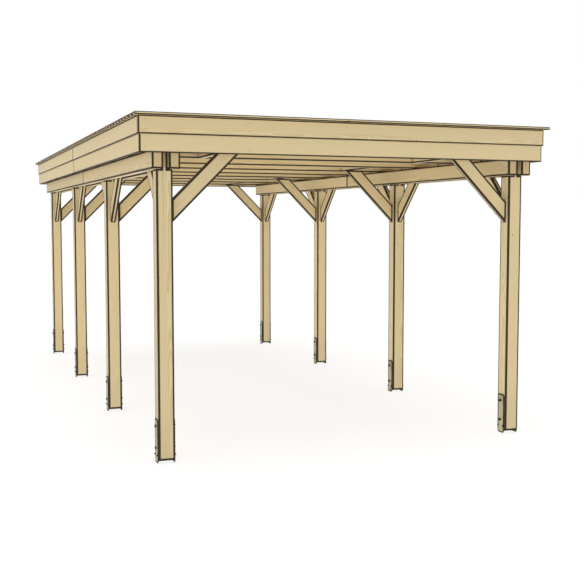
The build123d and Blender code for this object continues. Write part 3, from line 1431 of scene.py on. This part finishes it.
@dataclass
class Anchors(Assembly):
    """The H anchors of one side: two flats, a web and the welds that join them."""

    side: Side
    steel: float = 0.006
    corner: float = 0.018
    corner_steps: int = 5
    chamfer: float = 0.0008
    halo: float = 0.014
    web_inset: float = 0.001              # how much shorter the web is than the flats
    weld_inset: float = 0.008
    weld: float = 0.0055
    weld_steps: int = 36
    weld_sides: int = 4
    ripples: tuple[Point2, Point2] = ((0.10, 2.1), (0.05, 0.9))  # height, and turn from step to step
    taper: float = 0.35
    bulge: float = 0.14
    # weld_dirt: painted shade on the weld, in the corner under the web
    weld_dirt: float = 0.3
    seed: int = 5

    def build(self) -> None:
        """Make one anchor and set it under each post."""
        nodes = self.side.row_nodes("anchor")
        boxes = [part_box(node) for node in nodes]
        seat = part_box(self.side.row_nodes("post")[0])[0].z - boxes[0][0].z
        anchor = self._anchor(extent(boxes[0]), seat)
        places = [Place((middle(box).x, middle(box).y, box[0].z)) for box in boxes]
        piece = Piece(f"anchors_{self.side.word}", self.yard.zinc, self.seed, Slot.STEEL, nodes)
        self.yard.lay(piece, [anchor], places)

    def _anchor(self, size: Vector, seat: float) -> Object:
        """Make one anchor, standing at the origin.

        Args:
            size: the size of its box.
            seat: the height of the web's top.

        Returns:
            The member.
        """
        whole = bmesh.new()
        for sign in (-1, 1):
            self._add(whole, self._plate(size.y, size.z), (sign * (size.x - self.steel) / 2, size.z / 2))
        web = prism(rectangle(size.x - 2 * self.steel, self.steel), size.y - self.web_inset)
        # Painted shade: the web's narrow faces fully dark, as the shadow line under the post
        Arris(chamfer=self.chamfer, halo=self.halo, narrow=1.0, segments=1).ease(web)
        self._add(whole, web, (0.0, seat - self.steel / 2))
        for sign in (-1, 1):
            at = (sign * (size.x / 2 - self.steel), seat - self.steel)
            self._add(whole, self._bead(size.y - self.weld_inset, sign), at)
        return as_member(whole, "anchor")

    def _plate(self, width: float, height: float) -> BMesh:
        """One flat, upright, with rounded corners and eased edges.

        Args:
            width, height: its size.

        Returns:
            The plate about the origin.
        """
        outline = []
        for quarter, (y, z) in enumerate([(-1, -1), (1, -1), (1, 1), (-1, 1)]):
            centre = (y * (width / 2 - self.corner), z * (height / 2 - self.corner))
            for step in range(self.corner_steps + 1):
                angle = math.pi + (quarter + step / self.corner_steps) * RIGHT_ANGLE
                out = (self.corner * math.cos(angle), self.corner * math.sin(angle))
                outline.append((centre[0] + out[0], centre[1] + out[1]))
        plate = prism(outline, self.steel, section=True)
        rim = [edge for edge in plate.edges if edge.calc_face_angle(0.0) > RIGHT_ANGLE * 2 / 3]
        eased = chamfered(plate, rim, self.chamfer, 1)
        broad = [face for face in plate.faces if face not in eased and looks_along(face)]
        # Painted shade: a dark outline round each flat, clean inside
        ring_in(plate, broad, self.halo)
        inner = {vert for face in broad for vert in face.verts}
        darken(plate, plate.faces, lambda loop: 0.0 if loop.vert in inner else 1.0)
        return plate

    def _bead(self, length: float, sign: int) -> BMesh:
        """A rippled weld in the corner under the web.

        Args:
            length: its length.
            sign: the side of the anchor.

        Returns:
            The bead, with the corner at the origin.
        """
        bm = bmesh.new()
        rings = []
        (tall, quick), (low, slow) = self.ripples
        for step in range(self.weld_steps + 1):
            y = length * (step / self.weld_steps - 0.5)
            ripple = 1 + tall * math.sin(step * quick) + low * math.sin(step * slow + sign)
            taper = min(1.0, self.taper + self.taper * min(step, self.weld_steps - step))
            radius = self.weld * ripple * taper
            ring = [bm.verts.new((0.0, y, 0.0))]
            for part in range(self.weld_sides + 1):
                angle = RIGHT_ANGLE * part / self.weld_sides
                out = radius * (1 - self.bulge + self.bulge * math.cos(4 * (angle - math.pi / 4)))
                ring.append(bm.verts.new((-sign * out * math.cos(angle), y, -out * math.sin(angle))))
            rings.append(ring)
        join_rings(bm, rings)
        bm.faces.new(rings[0])
        bm.faces.new(reversed(rings[-1]))
        bmesh.ops.recalc_face_normals(bm, faces=bm.faces)
        darken(bm, bm.faces, lambda loop: self.weld_dirt)
        return bm

    @staticmethod
    def _add(whole: BMesh, part: BMesh, at: Point2) -> None:
        """Add a part to the anchor, and free it.

        Args:
            whole: the anchor so far.
            part: the part, in its own frame.
            at: the x and z where its origin goes.
        """
        layer = whole.loops.layers.float.get("edge") or whole.loops.layers.float.new("edge")
        source = part.loops.layers.float["edge"]
        copies = {vert: whole.verts.new(vert.co + Vector((at[0], 0.0, at[1]))) for vert in part.verts}
        for face in part.faces:
            made = whole.faces.new([copies[vert] for vert in face.verts])
            for old, new in zip(face.loops, made.loops):
                new[layer] = old[source]
        part.free()


Ring = tuple[float, float, Callable[[float], float] | None]  # height, radius and outline
EDGE_SHADE = 0.45             # painted shade on the edges of fasteners


def hexagon(angle: float) -> float:
    """How much further out a hexagon's edge is than its flats, at an angle."""
    sixth = math.pi / 3
    return 1 / math.cos((angle + sixth / 2) % sixth - sixth / 2)


def star(angle: float, lobes: int = 6, lobe: float = 0.16) -> float:
    """The lobed outline of a driver's recess, at an angle."""
    return 1 + lobe * math.cos(lobes * angle)


def spun(
    name: str, parts: Sequence[Sequence[Ring]], sides: int, dark_from: float = 40.0, smooth_to: float = 30.0
) -> Object:
    """Make a fastener from closed parts that are spun about z.

    Args:
        name: the object's name.
        parts: the rings of each part, from the bottom up.
        sides: how many sides each ring has.
        dark_from: the angle between faces, in degrees, past which an edge gets painted shade.
        smooth_to: the angle past which it is sharp.

    Returns:
        An object that is in no scene.
    """
    bm = bmesh.new()
    angles = [math.tau * k / sides for k in range(sides)]
    for rings in parts:
        loops = []
        for height, radius, outline in rings:
            out = [radius * (outline(angle) if outline else 1.0) for angle in angles]
            spots = [(r * math.cos(angle), r * math.sin(angle), height) for r, angle in zip(out, angles)]
            loops.append([bm.verts.new(spot) for spot in spots])
        join_rings(bm, loops)
        bm.faces.new(reversed(loops[0]))
        bm.faces.new(loops[-1])
    bmesh.ops.recalc_face_normals(bm, faces=bm.faces)
    limit = math.radians(dark_from)
    shaded_verts = {vert for edge in bm.edges if edge.calc_face_angle(0.0) > limit for vert in edge.verts}
    darken(bm, bm.faces, lambda loop: EDGE_SHADE if loop.vert in shaded_verts else 0.0)
    fastener = as_object(bm, name)
    fastener.data.set_sharp_from_angle(angle=math.radians(smooth_to))
    return fastener


@dataclass
class AnchorBolts(Assembly):
    """The through bolts of the anchors, with two lag screws low on each flat."""

    heights: Point2 = (0.108, 0.270)
    bolt_y: float = 0.010
    lag_height: float = 0.060
    lag_y: float = 0.033
    hexagon_half: float = 0.0095          # half the width over its flats
    crown: float = 0.94                   # the radius of its top, as a share of that
    dish: Point2 = (0.55, 0.0003)         # in a head's top: its share of the radius, and its depth
    head: Point2 = (0.0056, 0.0070)       # the height of its flats and of its top, as the next
    nut: Point2 = (0.0068, 0.008)
    washer: float = 0.0125
    washer_height: float = 0.002
    washer_ease: float = 0.0004
    thread: float = 0.005
    thread_turns: int = 3
    thread_pitch: float = 0.0014
    thread_crest: float = 0.0004          # how far up its pitch, as the next
    thread_root: Point2 = (0.0011, 0.88)  # and its share of the radius, as the next
    bolt_end: Point2 = (0.0050, 0.8)
    bolt_sunk: float = 0.001
    lag_half: float = 0.0055
    lag_crown: float = 0.92
    lag_head: Point2 = (0.005, 0.006)
    lag_washer: float = 0.0085
    lag_washer_height: float = 0.0014
    sides: int = 24
    lag_sides: int = 18

    def build(self) -> None:
        """Make the heads, the nuts and the lag screws, and set them."""
        outside, inside, lags = [], [], []
        for side in Side:
            for node in side.row_nodes("anchor"):
                low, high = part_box(node)
                y = (low.y + high.y) / 2
                for way, x in ((-1, low.x), (1, high.x)):
                    facing = Vector((way, 0.0, 0.0))
                    bolts = outside if way == side.value else inside
                    for height in self.heights:
                        bolts.append((Vector((x, y + self.bolt_y, low.z + height)), facing))
                    for offset in (-self.lag_y, self.lag_y):
                        lags.append((Vector((x, y + offset, low.z + self.lag_height)), facing))
        for name, shape, spots, seed in (
            ("anchor_bolt_heads", self._bolt_head(), outside, 3),
            ("anchor_bolt_nuts", self._nut(), inside, 4),
            ("anchor_lag_screws", self._lag_head(), lags, 6),
        ):
            self.yard.fasten(Piece(name, self.yard.bolt_steel, seed, Slot.STEEL), shape, spots)

    def _washer(self, radius: float, top: float) -> list[Ring]:
        """A washer with an eased rim, lying on the plate."""
        ease = self.washer_ease
        return [(0.0, radius, None), (top - ease, radius, None), (top, radius - ease, None)]

    @staticmethod
    def _hexagon(base: float, half: float, heights: Point2, crown: float) -> list[Ring]:
        """A hexagon that ends in a round chamfer.

        Args:
            base: the height that it stands on.
            half: half its width over the flats.
            heights: how high its flats and its top are above the base.
            crown: the radius of its top, as a share of the half.

        Returns:
            The rings.
        """
        flats, top = heights
        return [(base, half, hexagon), (base + flats, half, hexagon), (base + top, half * crown, None)]

    def _bolt_head(self) -> Object:
        """A hexagon head on its washer.

        Returns:
            The fastener.
        """
        base, half = self.washer_height, self.hexagon_half
        share, deep = self.dish
        rings = self._hexagon(base, half, self.head, self.crown)
        rings.append((base + self.head[1] - deep, half * share, None))
        return spun("bolt_head", [self._washer(self.washer, base), rings], self.sides)

    def _nut(self) -> Object:
        """A nut on its washer, with the end of the bolt through it.

        Returns:
            The fastener.
        """
        base, top = self.washer_height, self.washer_height + self.nut[1]
        rings = self._hexagon(base, self.hexagon_half, self.nut, self.crown)
        (root, root_share), (end, end_share) = self.thread_root, self.bolt_end
        turns = [(top - self.bolt_sunk, self.thread, None)]
        for turn in range(self.thread_turns):
            height = top + turn * self.thread_pitch
            turns.append((height + self.thread_crest, self.thread, None))
            turns.append((height + root, self.thread * root_share, None))
        turns.append((top + end, self.thread * end_share, None))
        return spun("nut", [self._washer(self.washer, base), rings, turns], self.sides)

    def _lag_head(self) -> Object:
        """A smaller hexagon head with its own flange.

        Returns:
            The fastener.
        """
        base = self.lag_washer_height
        rings = self._hexagon(base, self.lag_half, self.lag_head, self.lag_crown)
        return spun("lag_head", [self._washer(self.lag_washer, base), rings], self.lag_sides)


@dataclass
class TimberScrews(Assembly):
    """The countersunk screws of the braces and beams, and the nails of the fascia and roof."""

    screw_radius: float = 0.0048
    shank: float = 0.9                    # share of the screw's radius, as the next two
    rim: float = 0.94
    recess: Point2 = (0.5, 0.42)          # at its mouth and at its floor
    recess_floor: float = 0.1             # how high that is, as a share of proud
    screw_sides: int = 24
    screw_dirt: float = 25.0              # the angle past which an edge gets painted shade, as nail_dirt
    nail_radius: float = 0.0032
    nail_shank: float = 0.6               # share of the nail's radius, as the next
    nail_top: float = 0.8
    nail_sides: int = 10
    nail_dirt: float = 60.0
    proud: float = 0.0004
    deep: float = 0.001
    brace_inset: float = 0.055            # from a brace's end, measured level
    brace_apart: float = 0.011            # half the distance between two screws
    beam_pattern: tuple[Point2, ...] = ((-0.025, 0.045), (0.0, 0.090), (0.025, 0.045))
    fascia_inset: float = 0.032           # in from a board's lower and upper edges
    fascia_joint: float = 0.03            # how far the middle nails keep behind the butt joint
    roof_apart: float = 0.034             # half the distance between two nails in a board
    roof_joint: float = 0.012             # how far nails keep from the butt joint

    def build(self) -> None:
        """Make the screws and nails, and drive them."""
        for name, shape, spots, seed in (
            ("frame_screws", self._screw(), self._brace_spots() + self._beam_spots(), 8),
            ("fascia_nails", self._nail(), self._fascia_spots(), 9),
            ("roof_nails", self._nail(), self._roof_spots(), 10),
        ):
            self.yard.fasten(Piece(name, self.yard.screw_steel, seed, Slot.STEEL), shape, spots)

    def _screw(self) -> Object:
        """A countersunk head with a six-lobed recess.

        Returns:
            The fastener.
        """
        radius, proud = self.screw_radius, self.proud
        mouth, floor = self.recess
        rings = [(-self.deep, radius * self.shank, None), (0.0, radius, None)]
        rings += [(proud, radius * self.rim, None), (proud, radius * mouth, star)]
        rings.append((proud * self.recess_floor, radius * floor, star))
        return spun("screw", [rings], self.screw_sides, self.screw_dirt)

    def _nail(self) -> Object:
        """A low domed nail head.

        Returns:
            The fastener.
        """
        radius = self.nail_radius
        rings = [(-self.deep, radius * self.nail_shank, None), (0.0, radius, None)]
        rings.append((self.proud, radius * self.nail_top, None))
        return spun("nail", [rings], self.nail_sides, self.nail_dirt)

    def _brace_spots(self) -> list[Spot]:
        """Two screws near each end of a cross brace, and at the foot of a side brace.

        Returns:
            The places and the ways they face.
        """
        spots = []
        for side in Side:
            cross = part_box(f"cross_braces_{side.word}")
            reach, top = extent(cross).z, cross[1].z
            head = reach - self.brace_inset - Braces.width / ROOT_2 / 2
            for row, node in enumerate(side.row_nodes("post")):
                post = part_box(node)
                x, y, _ = middle(post)
                corner, inward = Vector((side.inner(post), y, top)), Vector((-side.value, 0.0, 0.0))
                for along in (self.brace_inset, head):
                    spots += self._pair(corner, inward, reach, along)
                for way, edge, last in ((1, post[1].y, ROWS - 1), (-1, post[0].y, 0)):
                    if row != last:
                        inward = Vector((0.0, way, 0.0))
                        spots += self._pair(Vector((x, edge, top)), inward, reach, self.brace_inset)
        return spots

    def _pair(self, corner: Vector, inward: Vector, reach: float, along: float) -> list[Spot]:
        """Two screws side by side on the lower face of a brace.

        Args:
            corner: the inner corner that the brace bridges.
            inward: the way the brace leans.
            reach: the brace's reach.
            along: how far from the foot they are, measured level.

        Returns:
            The two places and the way they face.
        """
        at = corner + inward * along + UP * (along - reach)
        level = inward.cross(UP) * self.brace_apart
        return [(at + level * sign, (inward - UP).normalized()) for sign in (-1, 1)]

    def _beam_spots(self) -> list[Spot]:
        """Three screws through each beam into every post's tongue.

        Returns:
            The places and the ways they face.
        """
        spots = []
        for side in Side:
            outer, inner = [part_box(f"beam_{side.word}_{line}_front") for line in TWINS]
            for node in side.row_nodes("post"):
                y = middle(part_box(node)).y
                for x, way in ((side.outer(outer), side.value), (side.inner(inner), -side.value)):
                    for along, up in self.beam_pattern:
                        spots.append((Vector((x, y + along, outer[0].z + up)), Vector((way, 0.0, 0.0))))
        return spots

    def _fascia_spots(self) -> list[Spot]:
        """Two nails in each fascia board at every rafter end, and at the purlins of the ends.

        Returns:
            The places and the ways they face.
        """
        spots = []
        first = middle(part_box("post_left_1")).y
        pitch = -2 * first / (RAFTERS - 1)
        rafters = [first + pitch * number for number in range(RAFTERS)]
        rafters[RAFTERS // 2] += self.fascia_joint
        for side in Side:
            for course in COURSES:
                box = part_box(f"fascia_{side.word}_{course}")
                places = [(side.outer(box), y) for y in rafters]
                spots += self._nailed(box, places, Vector((side.value, 0.0, 0.0)))
        for end, way in zip(ENDS, (-1, 1)):
            for course in COURSES:
                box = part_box(f"fascia_{end}_{course}")
                y = box[0].y if way < 0 else box[1].y
                places = [(x, y) for x in Purlins(self.yard).lines()]
                spots += self._nailed(box, places, Vector((0.0, way, 0.0)))
        return spots

    def _nailed(self, box: Box, places: Sequence[Point2], facing: Vector) -> list[Spot]:
        """A nail near the lower edge and one near the upper edge of a board, at each x and y."""
        heights = (box[0].z + self.fascia_inset, box[1].z - self.fascia_inset)
        return [(Vector((x, y, z)), facing) for x, y in places for z in heights]

    def _roof_spots(self) -> list[Spot]:
        """Two nails in each roof board over every purlin.

        Returns:
            The places and the ways they face.
        """
        low, high = box_of("roof_deck_left", "roof_deck_right")
        pitch = (high.y - low.y) / BOARDS
        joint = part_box("roof_deck_left")[1].x
        lines = []
        for x in Purlins(self.yard).lines():
            lines += [x - self.roof_joint, x + self.roof_joint] if x == joint else [x]
        rows = [low.y + (number + 0.5) * pitch for number in range(BOARDS)]
        top, pair = high.z - RoofBoards.skin, (-self.roof_apart, self.roof_apart)
        return [(Vector((x, y + across, top)), UP) for y in rows for x in lines for across in pair]


@dataclass
class Studio:
    """A pale floor, an even soft light and the camera."""

    camera_at: Triple = (-3.0544, -10.0537, 1.7732)
    camera_yaw: float = 0.35765
    camera_pitch: float = -0.07364
    lens: float = 59.81
    sensor: float = 36.0
    sight: float = 200.0
    floor_reach: float = 60.0
    floor_white: float = 0.95
    floor_glow: float = 0.62
    floor_level: float = 1.29
    key: float = 0.42
    key_angles: Triple = (48.0, 0.0, -47.0)
    zenith: float = 1.05
    lamp_width: float = 50.0
    sky: float = 0.16                     # the world's light from above, from the side and from below
    band: float = 1.44
    below: float = 0.74
    sky_rise: Point2 = (-0.05, 0.40)
    ground_fall: Point2 = (-0.45, -0.95)

    def build(self) -> None:
        """Make the camera, the floor, the lamps and the world."""
        self._camera()
        self._floor()
        self._lamp("key_lamp", self.key_angles, self.key)
        self._lamp("zenith_lamp", (0.0, 0.0, 0.0), self.zenith)
        self._world()
        bpy.context.scene.view_settings.view_transform = "Standard"

    @staticmethod
    def _placed(name: str, data: Any) -> Object:
        """Put an object in the scene.

        Args:
            name: its name.
            data: its mesh, camera or lamp.

        Returns:
            The object.
        """
        made = bpy.data.objects.new(name, data)
        bpy.context.scene.collection.objects.link(made)
        return made

    def _camera(self) -> None:
        """Set the camera at a standing person's eye."""
        data = bpy.data.cameras.new("eye")
        data.lens, data.sensor_width, data.clip_end = self.lens, self.sensor, self.sight
        camera = self._placed("eye", data)
        camera.location = self.camera_at
        camera.rotation_euler = (math.pi / 2 + self.camera_pitch, 0.0, -self.camera_yaw)
        bpy.context.scene.camera = camera

    def _floor(self) -> None:
        """Lay the floor. It glows a little to the eye, so that it is white, and keeps the shadow."""
        mesh = bpy.data.meshes.new("floor")
        corners = [(x, y, 0.0) for x, y in rectangle(2 * self.floor_reach, 2 * self.floor_reach)]
        mesh.from_pydata(corners, [], [(0, 1, 2, 3)])
        floor = self._placed("floor", mesh)
        material = bpy.data.materials.new("pale_floor")
        sheet = new_sheet(material)
        matt = sheet.node("ShaderNodeBsdfDiffuse", {}, {"Color": (*[self.floor_white] * 3, 1.0)})
        glow = sheet.node("ShaderNodeEmission", {}, {"Strength": self.floor_level})
        sheet.surface("MixShader", {0: self._seen(sheet) * self.floor_glow, 1: matt, 2: glow})
        mesh.materials.append(material)
        floor.visible_diffuse = floor.visible_shadow = False

    @staticmethod
    def _seen(sheet: Sheet) -> Wire:
        """1 for what the camera sees, straight or by a reflection."""
        path = sheet.node("ShaderNodeLightPath", {}, {}, "Is Camera Ray")
        return sheet.most(sheet.most(path, path.out("Is Glossy Ray")), path.out("Is Transmission Ray"))

    def _lamp(self, name: str, angles: Triple, strength: float) -> None:
        """Hang a very soft sun lamp.

        Args:
            name: its name.
            angles: its turn about x, y and z, in degrees.
            strength: its strength.
        """
        data = bpy.data.lights.new(name, "SUN")
        data.energy, data.angle = strength, math.radians(self.lamp_width)
        self._placed(name, data).rotation_euler = tuple(map(math.radians, angles))

    def _world(self) -> None:
        """Light the object evenly from all round, against white."""
        world = bpy.data.worlds.new("studio")
        sheet = new_sheet(world)
        height = sheet.split(sheet.where("Generated"))[2]
        up = sheet.ease(height, *self.sky_rise) * (self.sky - self.band)
        down = sheet.ease(height, *self.ground_fall) * (self.below - self.band)
        level = self.band + up + down
        strength = level + self._seen(sheet) * (1.0 - level)
        white = (1.0, 1.0, 1.0, 1.0)
        sheet.surface("Background", {"Color": white, "Strength": strength}, "World")
        bpy.context.scene.world = world


def main() -> None:
    """Build the studio and every part of the carport."""
    logging.basicConfig(level=logging.INFO, format="%(message)s")
    Studio().build()
    yard = Yard()
    for side in Side:
        for assembly in (Posts, Anchors, Beams, Braces):
            assembly(yard, side).build()
    for assembly in (Rafters, Blockings, Purlins, Fascia, RoofBoards, AnchorBolts, TimberScrews):
        assembly(yard).build()


if __name__ == "__main__":
    main()
